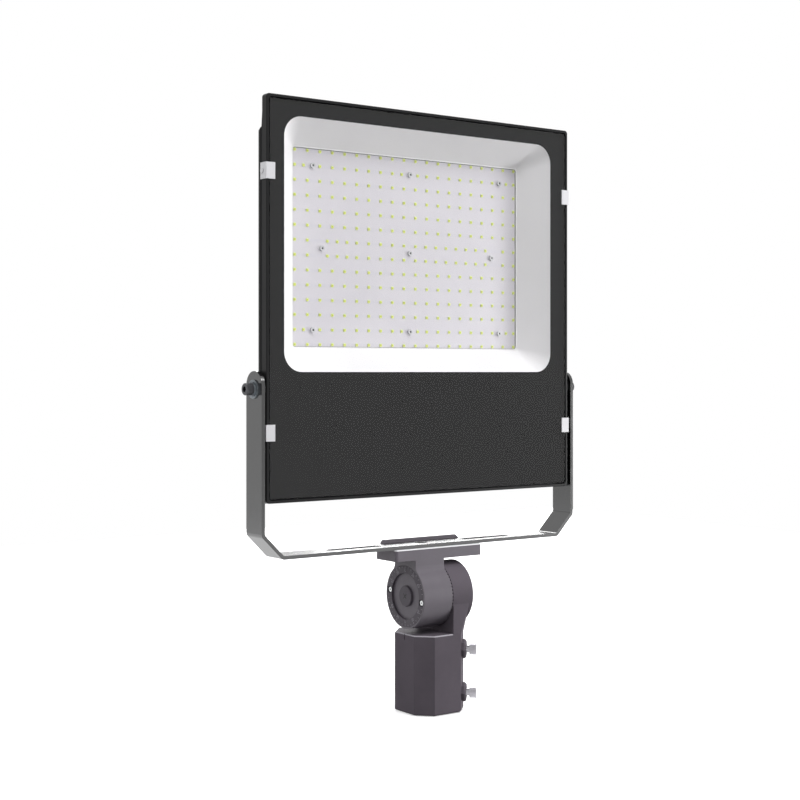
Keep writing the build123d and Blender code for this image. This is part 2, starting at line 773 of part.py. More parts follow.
with BuildPart() as rear_housing:
    framed(at_depth(front_y), (0, head_mid_z), head_width, head_height, head_corner, -head_side_depth)
    fillet(rear_housing.faces().sort_by(Axis.Y)[0].edges(), head_front_edge)
    framed(
        at_depth(side_back_y - rim_band_width),
        (0, head_mid_z),
        head_width + 2 * rim_band,
        head_height + 2 * rim_band,
        head_corner,
        -rim_band_width,
    )
    framed(
        at_depth(front_y),
        (0, head_mid_z),
        head_width - 2 * rim_front,
        head_height - 2 * rim_front,
        head_corner,
        -(ledge_y - front_y),
        Mode.SUBTRACT,
    )
    framed(
        at_depth(skin_back_y),
        (0, head_mid_z),
        head_width - 2 * rim_wall,
        head_height - 2 * rim_wall,
        head_corner,
        -(side_back_y - skin_back_y),
        Mode.SUBTRACT,
    )
    with BuildSketch(across(-head_side_x - rim_wall)):
        Polygon(*rim_profile, align=None)
    extrude(amount=head_width + 2 * rim_wall, mode=Mode.SUBTRACT)

    # Ribs on the back of the skin, to the sides and below the bay
    with BuildSketch(at_depth(skin_back_y)):
        with Locations((0, head_mid_z)):
            with GridLocations(1, rib_pitch, 1, rib_count):
                Rectangle(head_width - 2 * rim_wall, rib_thickness)
        with Locations((0, (head_bottom_z + bay_bottom_z) / 2)):
            with GridLocations(rib_pitch, 1, rib_count, 1):
                Rectangle(rib_thickness, bay_above_bottom)
    extrude(amount=-rib_height)

    # Pivot bosses inside the rim
    for side in (-1, 1):
        with BuildSketch(side_plane(side, head_side_x - rim_wall, 0, pivot_z)):
            with Locations((side * (ledge_y + pivot_boss_back) / 2, 0)):
                RectangleRounded(pivot_boss_back - ledge_y, 2 * pivot_boss_half_height, pivot_boss_corner)
        extrude(amount=-pivot_boss_length)

    # Deep section behind the reflector
    tapered(
        (
            ledge_y,
            window_width + 2 * (cavity_edge + deep_wall),
            window_height + 2 * (cavity_edge + deep_wall),
            window_corner,
        ),
        (
            base_back_y,
            board_width + 2 * deep_back_wall,
            board_height + 2 * deep_back_wall,
            window_corner,
        ),
    )

    # Driver bay and the lead duct above it
    framed(at_depth(ledge_y), (0, bay_mid_z), bay_width, bay_height, bay_corner, -(bay_back_y - ledge_y))
    with BuildSketch(Plane.XY.offset(bay_top_z - bay_wall)):
        with Locations((0, lead_y)):
            Rectangle(duct_width, duct_bore_depth + 2 * duct_wall)
    extrude(amount=duct_top_z - bay_top_z + bay_wall)

    # Hollow of the bay, with its cover bosses and driver pads left standing
    with BuildSketch(at_depth(skin_back_y)):
        with Locations((0, bay_mid_z)):
            RectangleRounded(bay_width - 2 * bay_wall, bay_height - 2 * bay_wall, bay_corner - bay_wall)
        with Locations(*cover_screw_places):
            Circle(cover_boss_radius, mode=Mode.SUBTRACT)
    extrude(amount=-bay_depth, mode=Mode.SUBTRACT)
    with BuildSketch(at_depth(skin_back_y)):
        with Locations(*driver_screw_places):
            Circle(driver_pad_radius)
    extrude(amount=-driver_pad)

    # Hollow of the optical chamber and the seat of the board
    tapered(
        (
            ledge_y,
            window_width + 2 * cavity_edge,
            window_height + 2 * cavity_edge,
            window_corner,
        ),
        (
            board_y,
            board_width + 2 * board_clearance,
            board_height + 2 * board_clearance,
            board_corner,
        ),
        Mode.SUBTRACT,
    )
    framed(
        at_depth(board_y),
        (0, window_mid_z),
        board_width + 2 * board_clearance,
        board_height + 2 * board_clearance,
        board_corner,
        -board_thickness,
        Mode.SUBTRACT,
    )

    # Lead duct bore, up from the bay and forward to the board
    with BuildSketch(Plane.XY.offset(bay_top_z - bay_wall)):
        with Locations((0, lead_y)):
            Rectangle(duct_bore_width, duct_bore_depth)
    extrude(amount=duct_top_z - bay_top_z + bay_wall - duct_wall, mode=Mode.SUBTRACT)
    with BuildSketch(at_depth(board_back_y)):
        with Locations((0, lead_top_z)):
            Rectangle(duct_bore_width, duct_bore_depth)
    extrude(amount=-(lead_y - board_back_y), mode=Mode.SUBTRACT)

    # Screw holes
    with BuildSketch(at_depth(board_back_y)):
        with Locations((0, window_mid_z)):
            with Locations(*board_screw_places):
                Circle(board_screw_radius + thread_clearance)
    extrude(amount=-board_screw_grip, mode=Mode.SUBTRACT)
    with BuildSketch(at_depth(base_back_y)):
        with Locations((0, window_mid_z)):
            with Locations(*sink_screw_places):
                Circle(sink_screw_radius + thread_clearance)
    extrude(amount=sink_screw_grip, mode=Mode.SUBTRACT)
    with BuildSketch(at_depth(bay_back_y)):
        with Locations(*cover_screw_places):
            Circle(cover_screw_radius + thread_clearance)
    extrude(amount=cover_screw_grip + screw_tip_gap, mode=Mode.SUBTRACT)
    with BuildSketch(at_depth(driver_front_y)):
        with Locations(*driver_screw_places):
            Circle(driver_screw_radius + thread_clearance)
    extrude(amount=driver_screw_grip + screw_tip_gap, mode=Mode.SUBTRACT)
    for side in (-1, 1):
        pivot_seat = side_plane(side, head_side_x, 0, pivot_z)
        cylinder(pivot_seat, pivot_spacer_radius + face_clearance, rim_wall, Mode.SUBTRACT)
        cylinder(
            pivot_seat,
            pivot_bolt_radius + thread_clearance,
            -pivot_bolt_grip - screw_tip_gap,
            Mode.SUBTRACT,
        )
    for side, z in clip_centres:
        cylinder(
            side_plane(side, head_side_x, clip_screw_y, z),
            clip_screw_radius + thread_clearance,
            -clip_screw_length - screw_tip_gap,
            Mode.SUBTRACT,
        )
    cylinder(
        below(gland_x, gland_y, bay_bottom_z + bay_wall),
        gland_thread_radius + thread_clearance,
        bay_wall,
        Mode.SUBTRACT,
    )
    cylinder(
        below(vent_x, gland_y, bay_bottom_z + bay_wall),
        vent_thread_radius + thread_clearance,
        bay_wall,
        Mode.SUBTRACT,
    )

# Heat sink: a finned plate that stops short of the lead duct, and its screws
sink_width = (fin_count - 1) * fin_pitch + fin_thickness

with BuildPart() as heat_sink:
    framed(at_depth(base_back_y), (0, window_mid_z), sink_width, fin_foot_length, sink_corner, -sink_base)
    for index in range(fin_count):
        fin_x = (index - (fin_count - 1) / 2) * fin_pitch
        with BuildSketch(across(fin_x - fin_thickness / 2)):
            Polygon(
                (sink_back_y - sink_base / 2, window_mid_z - fin_foot_length / 2 + sink_corner),
                (sink_back_y, window_mid_z - fin_foot_length / 2 + sink_corner),
                (fin_back_y, window_mid_z - fin_top_length / 2),
                (fin_back_y, window_mid_z + fin_top_length / 2),
                (sink_back_y, window_mid_z + fin_foot_length / 2 - sink_corner),
                (sink_back_y - sink_base / 2, window_mid_z + fin_foot_length / 2 - sink_corner),
                align=None,
            )
        extrude(amount=fin_thickness)
    with BuildSketch(at_depth(base_back_y)):
        with Locations((0, duct_top_z + face_clearance - fin_foot_length / 2)):
            Rectangle(duct_width + 2 * face_clearance, fin_foot_length)
        with Locations((0, window_mid_z)):
            with Locations(*sink_screw_places):
                Circle(sink_screw_radius + thread_clearance)
    extrude(amount=-(fin_back_y - base_back_y), mode=Mode.SUBTRACT)

with BuildPart() as heat_sink_screws:
    with BuildSketch(at_depth(sink_back_y)):
        with Locations((0, window_mid_z)):
            with Locations(*sink_screw_places):
                Circle(sink_screw_head_radius)
    extrude(amount=-sink_screw_head)
    with BuildSketch(at_depth(sink_back_y)):
        with Locations((0, window_mid_z)):
            with Locations(*sink_screw_places):
                Circle(sink_screw_radius)
    extrude(amount=sink_base + sink_screw_grip - screw_tip_gap)

# Front glass, the black print behind it and the gasket it lies on
with BuildPart() as front_glass:
    framed(at_depth(front_y), (0, head_mid_z), glass_width, glass_height, glass_corner, -glass_thickness)
    chamfer(front_glass.faces().sort_by(Axis.Y)[0].edges(), glass_edge)

with BuildPart() as glass_print:
    framed(
        at_depth(glass_back_y),
        (0, head_mid_z),
        glass_width,
        glass_height,
        glass_corner,
        -print_thickness,
    )
    framed(
        at_depth(glass_back_y),
        (0, window_mid_z),
        window_width,
        window_height,
        window_corner,
        -print_thickness,
        Mode.SUBTRACT,
    )

with BuildPart() as glass_gasket:
    gasket_outer_width = glass_width - 2 * gasket_inset
    gasket_outer_height = glass_height - 2 * gasket_inset
    framed(
        at_depth(print_back_y),
        (0, head_mid_z),
        gasket_outer_width,
        gasket_outer_height,
        glass_corner,
        -gasket_thickness,
    )
    framed(
        at_depth(print_back_y),
        (0, head_mid_z),
        gasket_outer_width - 2 * gasket_width,
        gasket_outer_height - 2 * gasket_width,
        glass_corner,
        -gasket_thickness,
        Mode.SUBTRACT,
    )

# Reflector: four sloping walls, a flange behind the print and a lip round the board
reflector_back_y = board_y - insulator_thickness
lip_front_y = reflector_back_y - reflector_lip_thickness
wall_back_width = board_view_width + 2 * reflector_lip
wall_back_height = board_view_height + 2 * reflector_lip

with BuildPart() as reflector:
    tapered(
        (
            print_back_y,
            window_width + 2 * reflector_wall,
            window_height + 2 * reflector_wall,
            window_corner + reflector_wall,
        ),
        (
            reflector_back_y,
            wall_back_width + 2 * reflector_wall,
            wall_back_height + 2 * reflector_wall,
            board_corner + reflector_wall,
        ),
    )
    framed(
        at_depth(print_back_y),
        (0, window_mid_z),
        window_width + 2 * reflector_flange,
        window_height + 2 * reflector_flange,
        window_corner + reflector_flange,
        -gasket_thickness,
    )
    tapered(
        (print_back_y, window_width, window_height, window_corner),
        (lip_front_y, wall_back_width, wall_back_height, board_corner),
        Mode.SUBTRACT,
    )
    framed(
        at_depth(lip_front_y),
        (0, window_mid_z),
        board_view_width,
        board_view_height,
        board_corner,
        -reflector_lip_thickness,
        Mode.SUBTRACT,
    )

# Insulating film between the reflector and the live board
with BuildPart() as reflector_insulator:
    framed(
        at_depth(reflector_back_y),
        (0, window_mid_z),
        board_width,
        board_height,
        board_corner,
        -insulator_thickness,
    )
    framed(
        at_depth(reflector_back_y),
        (0, window_mid_z),
        board_view_width - 2 * insulator_show,
        board_view_height - 2 * insulator_show,
        board_corner,
        -insulator_thickness,
        Mode.SUBTRACT,
    )

# LED board with its nine screws
with BuildPart() as led_board:
    framed(
        at_depth(board_y),
        (0, window_mid_z),
        board_width,
        board_height,
        board_corner,
        -board_thickness,
    )
    with BuildSketch(at_depth(board_y)):
        with Locations((0, window_mid_z)):
            with Locations(*board_screw_places):
                Circle(board_screw_radius + thread_clearance)
    extrude(amount=-board_thickness, mode=Mode.SUBTRACT)

with BuildPart() as board_screws:
    with BuildSketch(at_depth(board_y)):
        with Locations((0, window_mid_z)):
            with Locations(*board_screw_places):
                Circle(board_screw_head_radius)
    extrude(amount=board_screw_head)
    with BuildSketch(at_depth(board_y)):
        with Locations((0, window_mid_z)):
            with Locations(*board_screw_places):
                Circle(board_screw_radius)
    extrude(amount=-(board_thickness + board_screw_grip - screw_tip_gap))


# LED packages. Rows that meet a board screw step aside for it, in pitches from the centre line.
led_side_row = 5.5
led_middle_row = 0.5
side_row_steps = {0.5: 0.7, -0.5: -0.7, 8.5: 8.8, -8.5: -8.8}
middle_left_steps = {-7.5: -6.9, -6.5: -6.1, -5.5: -5.3}
middle_right_pitch = 0.907
middle_right_last = 7.5


def led_step(column, row):
    """The place of a package along its row, in pitches from the board's centre."""
    if abs(row) == led_side_row:
        return side_row_steps.get(column, column)
    if abs(row) == led_middle_row and 0 < column <= middle_right_last:
        return 0.5 + (column - 0.5) * middle_right_pitch
    if abs(row) == led_middle_row:
        return middle_left_steps.get(column, column)
    return column


led_columns = int(board_view_width / led_pitch) + 1
led_rows = int(board_view_height / led_pitch) + 1
led_column_steps = [index - (led_columns - 1) / 2 for index in range(led_columns)]
led_row_steps = [index - (led_rows - 1) / 2 for index in range(led_rows)]
led_places = [
    (led_step(column, row) * led_pitch, row * led_pitch)
    for row in led_row_steps
    for column in led_column_steps
]

with BuildPart() as led_packages:
    with BuildSketch(at_depth(board_y)):
        with Locations((0, window_mid_z)):
            with Locations(*led_places):
                Rectangle(led_size, led_size)
    extrude(amount=led_thickness)

# Driver, with two feet screwed to the pads of the bay
with BuildPart() as led_driver:
    with BuildSketch(at_depth(driver_front_y)):
        with Locations((driver_centre_x, driver_mid_z)):
            Rectangle(driver_length, driver_height)
    extrude(amount=-driver_depth)
    chamfer(led_driver.edges().filter_by(Axis.X), driver_edge)
    with BuildSketch(at_depth(driver_front_y)):
        with Locations((driver_centre_x, driver_mid_z)):
            with GridLocations(2 * driver_foot_x, 1, 2, 1):
                Rectangle(driver_foot_length, driver_height - 2 * driver_foot_inset)
        with Locations(*driver_screw_places):
            Circle(driver_screw_radius + thread_clearance, mode=Mode.SUBTRACT)
    extrude(amount=-driver_foot_thickness)

with BuildPart() as driver_screws:
    driver_seat_y = driver_front_y + driver_foot_thickness
    with BuildSketch(at_depth(driver_seat_y)):
        with Locations(*driver_screw_places):
            Circle(driver_screw_head_radius)
    extrude(amount=-driver_screw_head)
    with BuildSketch(at_depth(driver_seat_y)):
        with Locations(*driver_screw_places):
            Circle(driver_screw_radius)
    extrude(amount=driver_foot_thickness + driver_screw_grip)

# Terminal block and the leads between it and the driver
terminal_x = terminal_left_x + terminal_length / 2
pole_heights = [
    driver_mid_z + (index - (terminal_poles - 1) / 2) * terminal_pitch for index in range(terminal_poles)
]

with BuildPart() as terminal_block:
    with BuildSketch(at_depth(skin_back_y)):
        with Locations((terminal_x, driver_mid_z)):
            Rectangle(terminal_length, terminal_height)
    extrude(amount=-terminal_depth)
    with BuildSketch(at_depth(skin_back_y + terminal_depth)):
        for z in pole_heights:
            with Locations((terminal_x, z)):
                Circle(terminal_well_radius)
    extrude(amount=terminal_well_depth, mode=Mode.SUBTRACT)

with BuildPart() as input_leads:
    for z in pole_heights:
        cylinder(
            Plane(
                origin=(terminal_left_x - terminal_gap, driver_front_y + input_lead_depth, z),
                x_dir=(0, 1, 0),
                z_dir=(1, 0, 0),
            ),
            lead_radius,
            terminal_gap,
        )

# Leads from the driver's upper face through the duct to the back of the board
lead_start_z = driver_mid_z + driver_height / 2

with BuildPart() as board_leads:
    for x in (-lead_offset, lead_offset):
        with BuildLine() as lead_path:
            FilletPolyline(
                (x, lead_y, lead_start_z),
                (x, lead_y, lead_top_z),
                (x, board_back_y, lead_top_z),
                radius=lead_bend,
            )
        with BuildSketch(Plane(origin=(x, lead_y, lead_start_z), z_dir=(0, 0, 1))) as lead_section:
            Circle(lead_radius)
        sweep(lead_section.sketch, path=lead_path.line)

with BuildPart() as surge_protector:
    with BuildSketch(at_depth(skin_back_y)):
        with Locations((terminal_x, driver_mid_z + terminal_height / 2 + surge_gap + surge_height / 2)):
            Rectangle(surge_length, surge_height)
    extrude(amount=-surge_depth)
    fillet(surge_protector.edges().filter_by(Axis.Y), surge_corner)

# Cover of the driver bay, with its gasket and screws
with BuildPart() as cover_gasket:
    with BuildSketch(at_depth(bay_back_y)):
        with Locations((0, bay_mid_z)):
            RectangleRounded(bay_width, bay_height, bay_corner)
            RectangleRounded(
                bay_width - 2 * bay_wall,
                bay_height - 2 * bay_wall,
                bay_corner - bay_wall,
                mode=Mode.SUBTRACT,
            )
        with Locations(*cover_screw_places):
            Circle(cover_boss_radius)
        with Locations(*cover_screw_places):
            Circle(cover_screw_radius + thread_clearance, mode=Mode.SUBTRACT)
    extrude(amount=-cover_gasket_thickness)

with BuildPart() as driver_cover:
    framed(at_depth(cover_front_y), (0, bay_mid_z), bay_width, bay_height, bay_corner, -cover_thickness)
    chamfer(driver_cover.faces().sort_by(Axis.Y)[-1].edges(), cast_edge)
    with BuildSketch(at_depth(cover_back_y)):
        with Locations((0, bay_mid_z)):
            with GridLocations(fin_pitch, 1, cover_fin_count, 1):
                Rectangle(fin_thickness, cover_fin_length)
    extrude(amount=-cover_fin_height)
    with BuildSketch(at_depth(cover_front_y)):
        with Locations(*cover_screw_places):
            Circle(cover_screw_radius + thread_clearance)
    extrude(amount=-cover_thickness, mode=Mode.SUBTRACT)

with BuildPart() as cover_screws:
    with BuildSketch(at_depth(cover_back_y)):
        with Locations(*cover_screw_places):
            Circle(cover_screw_head_radius)
    extrude(amount=-cover_screw_head)
    with BuildSketch(at_depth(cover_back_y)):
        with Locations(*cover_screw_places):
            Circle(cover_screw_radius)
    extrude(amount=cover_thickness + cover_gasket_thickness + cover_screw_grip)

# Cable gland under the bay: body, locknut, dome nut and seal
gland_seat = below(gland_x, gland_y, bay_bottom_z)

with BuildPart() as gland_body:
    hexagon(gland_seat, gland_flange_across, gland_flange)
    cylinder(gland_seat, gland_thread_radius, -gland_thread_length)
    cylinder(gland_seat.offset(gland_flange), gland_thread_radius, gland_dome_length / 2)
    cylinder(
        gland_seat.offset(-gland_thread_length),
        gland_bore_radius + face_clearance,
        gland_thread_length + gland_flange + gland_dome_length / 2,
        Mode.SUBTRACT,
    )

with BuildPart() as gland_locknut:
    hexagon(gland_seat.offset(-bay_wall), locknut_across, -locknut_length)
    cylinder(
        gland_seat.offset(-bay_wall),
        gland_thread_radius + thread_clearance,
        -locknut_length,
        Mode.SUBTRACT,
    )

with BuildPart() as gland_nut:
    cylinder(gland_seat.offset(gland_flange), gland_dome_radius, gland_dome_length)
    dome_end = gland_nut.edges().filter_by(GeomType.CIRCLE).sort_by(Axis.Z)[0]
    fillet(dome_end, gland_dome_radius - gland_dome_end_radius)
    cylinder(
        gland_seat.offset(gland_flange),
        gland_thread_radius + thread_clearance,
        gland_dome_length / 2 + gland_thread_relief,
        Mode.SUBTRACT,
    )
    cylinder(gland_seat.offset(gland_flange), gland_bore_radius, gland_dome_length, Mode.SUBTRACT)

with BuildPart() as gland_seal:
    gland_mouth = gland_seat.offset(gland_flange + gland_dome_length)
    cylinder(gland_mouth, gland_bore_radius - thread_clearance, -gland_seal_length)
    cylinder(gland_mouth, gland_seal_radius, -gland_seal_length, Mode.SUBTRACT)

with BuildPart() as vent_valve:
    vent_seat = below(vent_x, gland_y, bay_bottom_z)
    cylinder(vent_seat, vent_head_radius, vent_head)
    chamfer(vent_valve.edges().filter_by(GeomType.CIRCLE).sort_by(Axis.Z)[0], vent_head_edge)
    cylinder(vent_seat, vent_thread_radius, -vent_thread_length)

# Tilt pivots: bolt, spring washer and flat washer outside each arm, spacer inside it
pivot_outer = {
    "washer": yoke_outer_x,
    "spring": yoke_outer_x + pivot_washer_thickness,
    "head": yoke_outer_x + pivot_washer_thickness + spring_washer_thickness,
}

with BuildPart() as pivot_spacers:
    for side in (-1, 1):
        spacer_length = yoke_inner_x - head_side_x
        cylinder(side_plane(side, head_side_x, 0, pivot_z), pivot_spacer_radius, spacer_length)
        cylinder(
            side_plane(side, head_side_x, 0, pivot_z),
            pivot_bolt_radius + thread_clearance,
            spacer_length,
            Mode.SUBTRACT,
        )

with BuildPart() as pivot_washers:
    for side in (-1, 1):
        washer_seat = side_plane(side, pivot_outer["washer"], 0, pivot_z)
        cylinder(washer_seat, pivot_washer_radius, pivot_washer_thickness)
        cylinder(washer_seat, pivot_bolt_radius + thread_clearance, pivot_washer_thickness, Mode.SUBTRACT)

with BuildPart() as spring_washers:
    for side in (-1, 1):
        spring_seat = side_plane(side, pivot_outer["spring"], 0, pivot_z)
        cylinder(spring_seat, spring_washer_radius, spring_washer_thickness)
        cylinder(spring_seat, pivot_bolt_radius + thread_clearance, spring_washer_thickness, Mode.SUBTRACT)
        with BuildSketch(spring_seat):
            with Locations((0, spring_washer_radius)):
                Rectangle(spring_washer_split, 2 * spring_washer_radius)
        extrude(amount=spring_washer_thickness, mode=Mode.SUBTRACT)

with BuildPart() as pivot_bolts:
    for side in (-1, 1):
        head_seat = side_plane(side, pivot_outer["head"], 0, pivot_z)
        cylinder(head_seat, pivot_bolt_radius, -(pivot_outer["head"] - head_side_x + pivot_bolt_grip))
        cylinder(head_seat, pivot_head_radius, pivot_head_length)
    bolt_rims = pivot_bolts.edges().filter_by(GeomType.CIRCLE).group_by(Axis.X)
    chamfer(bolt_rims[0] + bolt_rims[-1], bolt_edge)
    for side in (-1, 1):
        bolt_end = side_plane(side, pivot_outer["head"] + pivot_head_length, 0, pivot_z)
        hexagon(bolt_end, pivot_key_across, -pivot_key_depth, Mode.SUBTRACT)

# Glass clips, each an angle over the rim held by a countersunk screw
with BuildPart() as glass_clips:
    for side, z in clip_centres:
        with BuildSketch(at_depth(front_y)):
            with Locations((side * (head_side_x + clip_thickness - (clip_front + clip_thickness) / 2), z)):
                Rectangle(clip_front + clip_thickness, clip_height)
        extrude(amount=clip_thickness)
        with BuildSketch(at_depth(front_y)):
            with Locations((side * (head_side_x + clip_thickness / 2), z)):
                Rectangle(clip_thickness, clip_height)
        extrude(amount=-clip_side)
    for side, z in clip_centres:
        clip_face = side_plane(side, head_side_x + clip_thickness, clip_screw_y, z)
        cylinder(clip_face, clip_screw_radius + thread_clearance, -clip_thickness, Mode.SUBTRACT)

with BuildPart() as clip_screws:
    for side, z in clip_centres:
        clip_face = side_plane(side, head_side_x + clip_thickness, clip_screw_y, z)
        cylinder(clip_face, clip_screw_head_radius, clip_screw_head)
        cylinder(clip_face, clip_screw_radius, -clip_thickness - clip_screw_length)

# Each piece is written to a file with its own name
slipfitter_pieces = {
    "pole_socket": pole_socket,
    "clamp_bolt_upper": clamp_bolt_upper,
    "clamp_bolt_lower": clamp_bolt_lower,
    "knuckle_bolt": knuckle_bolt,
    "knuckle_nut": knuckle_nut,
    "knuckle_washers": knuckle_washers,
    "knuckle_bracket": knuckle_bracket,
    "angle_scale": angle_scale,
    "scale_screws": scale_screws,
    "bolt_cap": bolt_cap,
}
yoke_and_lamp_pieces = {
    "yoke": yoke,
    "yoke_screw": yoke_screw,
    "rear_housing": rear_housing,
    "heat_sink": heat_sink,
    "heat_sink_screws": heat_sink_screws,
    "front_glass": front_glass,
    "glass_print": glass_print,
    "glass_gasket": glass_gasket,
    "reflector": reflector,
    "reflector_insulator": reflector_insulator,
    "led_board": led_board,
    "led_packages": led_packages,
    "board_screws": board_screws,
    "led_driver": led_driver,
    "driver_screws": driver_screws,
    "terminal_block": terminal_block,
    "input_leads": input_leads,
    "board_leads": board_leads,
    "surge_protector": surge_protector,
    "cover_gasket": cover_gasket,
    "driver_cover": driver_cover,
    "cover_screws": cover_screws,
    "gland_body": gland_body,
    "gland_locknut": gland_locknut,
    "gland_nut": gland_nut,
    "gland_seal": gland_seal,
    "vent_valve": vent_valve,
    "pivot_spacers": pivot_spacers,
    "pivot_washers": pivot_washers,
    "spring_washers": spring_washers,
    "pivot_bolts": pivot_bolts,
    "glass_clips": glass_clips,
    "clip_screws": clip_screws,
}

os.makedirs("parts", exist_ok=True)
for group, place in ((slipfitter_pieces, 0), (yoke_and_lamp_pieces, yoke_x)):
    for name, piece in group.items():
        shape = piece.part.moved(Location((place, 0, 0)))
        shape.label = name
        export_step(shape, f"parts/{name}.step")
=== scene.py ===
import math

import bmesh
import bpy
from mathutils import Matrix, Vector


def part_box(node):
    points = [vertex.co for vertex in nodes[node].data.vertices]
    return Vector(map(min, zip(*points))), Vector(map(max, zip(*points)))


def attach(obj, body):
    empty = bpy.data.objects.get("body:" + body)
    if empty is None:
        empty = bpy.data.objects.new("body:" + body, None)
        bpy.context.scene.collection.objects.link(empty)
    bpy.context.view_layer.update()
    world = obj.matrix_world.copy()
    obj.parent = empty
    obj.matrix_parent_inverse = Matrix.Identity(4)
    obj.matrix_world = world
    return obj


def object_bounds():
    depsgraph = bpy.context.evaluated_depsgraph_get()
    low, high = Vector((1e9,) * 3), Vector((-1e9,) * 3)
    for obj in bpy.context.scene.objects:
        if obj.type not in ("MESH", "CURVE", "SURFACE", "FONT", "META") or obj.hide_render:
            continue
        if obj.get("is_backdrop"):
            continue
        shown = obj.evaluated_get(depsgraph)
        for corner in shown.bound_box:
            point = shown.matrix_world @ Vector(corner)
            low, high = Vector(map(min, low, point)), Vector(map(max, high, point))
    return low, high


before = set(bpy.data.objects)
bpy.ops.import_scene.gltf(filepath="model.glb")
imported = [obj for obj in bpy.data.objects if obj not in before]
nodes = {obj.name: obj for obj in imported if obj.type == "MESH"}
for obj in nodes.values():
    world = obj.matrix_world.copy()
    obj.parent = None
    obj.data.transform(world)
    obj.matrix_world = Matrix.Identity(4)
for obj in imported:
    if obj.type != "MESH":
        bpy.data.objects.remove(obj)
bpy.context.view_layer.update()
board_low, board_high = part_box("led_board")
board_mid = (board_low + board_high) / 2
led_pitch = 0.0163


# Shader helpers
paint_step = 0.0001  # how far a painted edge takes to change


class Nodes:
    """A small builder for a node tree."""

    def __init__(self, tree):
        self.tree = tree
        self.tree.nodes.clear()

    def node(self, kind, **values):
        made = self.tree.nodes.new(kind)
        for key, value in values.items():
            setattr(made, key, value)
        return made

    def link(self, source, target):
        self.tree.links.new(source, target)

    def math(self, operation, first, second=None):
        made = self.node("ShaderNodeMath", operation=operation)
        for socket, value in zip(made.inputs, (first, second)):
            if isinstance(value, (int, float)):
                socket.default_value = value
            elif value is not None:
                self.link(value, socket)
        return made.outputs[0]

    def separate(self, vector):
        made = self.node("ShaderNodeSeparateXYZ")
        self.link(vector, made.inputs[0])
        return made.outputs

    def ramp(self, factor, stops):
        """A colour ramp through stops of (position, colour)."""
        made = self.node("ShaderNodeValToRGB")
        points = made.color_ramp.elements
        while len(points) < len(stops):
            points.new(0.5)
        for point, (position, color) in zip(points, stops):
            point.position = position
            point.color = (*color, 1)
        self.link(factor, made.inputs["Fac"])
        return made.outputs["Color"]

    def spread(self, factor, low, high):
        """A factor from 0 to 1 spread evenly over low to high."""
        made = self.node("ShaderNodeMapRange")
        made.inputs["To Min"].default_value = low
        made.inputs["To Max"].default_value = high
        self.link(factor, made.inputs["Value"])
        return made.outputs["Result"]

    def smooth(self, value, low, high, to_low=0.0, to_high=1.0):
        """A soft step as value goes from low to high."""
        made = self.node("ShaderNodeMapRange", interpolation_type="SMOOTHSTEP")
        made.inputs["From Min"].default_value = low
        made.inputs["From Max"].default_value = high
        made.inputs["To Min"].default_value = to_low
        made.inputs["To Max"].default_value = to_high
        self.link(value, made.inputs["Value"])
        return made.outputs["Result"]

    def blend(self, factor, first, second):
        """The first colour at factor 0 and the second at 1."""
        made = self.node("ShaderNodeMix", data_type="RGBA")
        self.link(factor, made.inputs["Factor"])
        for socket, value in ((made.inputs[6], first), (made.inputs[7], second)):
            if isinstance(value, tuple):
                socket.default_value = (*value, 1)
            else:
                self.link(value, socket)
        return made.outputs[2]

    def in_sight(self):
        """1 for a ray that sees the backdrop: straight from the camera, or by gloss or glass."""
        rays = self.node("ShaderNodeLightPath").outputs
        mirrored = self.math("MAXIMUM", rays["Is Glossy Ray"], rays["Is Transmission Ray"])
        return self.math("MAXIMUM", rays["Is Camera Ray"], mirrored)


